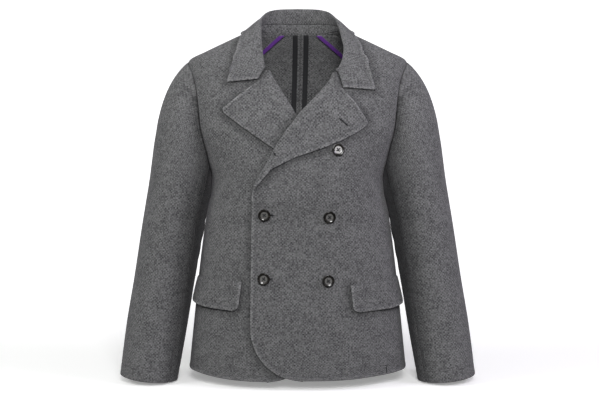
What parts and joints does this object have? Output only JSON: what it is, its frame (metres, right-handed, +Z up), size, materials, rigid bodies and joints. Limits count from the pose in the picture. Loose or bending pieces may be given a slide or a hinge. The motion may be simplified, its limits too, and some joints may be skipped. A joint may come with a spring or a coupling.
{
  "type": "pea coat",
  "caption": "Hollow double-breasted pea coat of heavy grey wool, filled out as worn, with notched lapels, a turned-down collar, flap pockets and horn buttons.",
  "frame": {"origin": "between the shoulder seams at the height of the neck points, where the wearer's shoulders hold it", "axes": "+Z up, the front faces -Y and +X points to the wearer's left"},
  "size_m": [0.747, 0.2702, 0.7789],
  "materials": {
    "wool": "matt heavy wool",
    "binding": "black bias tape",
    "ribbon": "purple bias tape",
    "horn": "polished horn"
  },
  "bodies": {
    "root": {"front_left": "wool", "front_right": "wool", "back_left": "wool", "back_right": "wool", "sleeve_upper_left": "wool", "sleeve_under_left": "wool", "sleeve_upper_right": "wool", "sleeve_under_right": "wool", "lapel_left": "wool", "lapel_right": "wool", "collar_fall": "wool", "collar_stand": "wool", "flap_left": "wool", "flap_right": "wool", "neck_facing_left": "wool", "neck_facing_right": "wool", "button_1": "horn", "button_2": "horn", "button_3": "horn", "button_4": "horn", "button_5": "horn", "seam_tape_left": "binding", "seam_tape_right": "binding", "neck_tape_left": "ribbon", "neck_tape_right": "ribbon"}
  },
  "joints": []
}
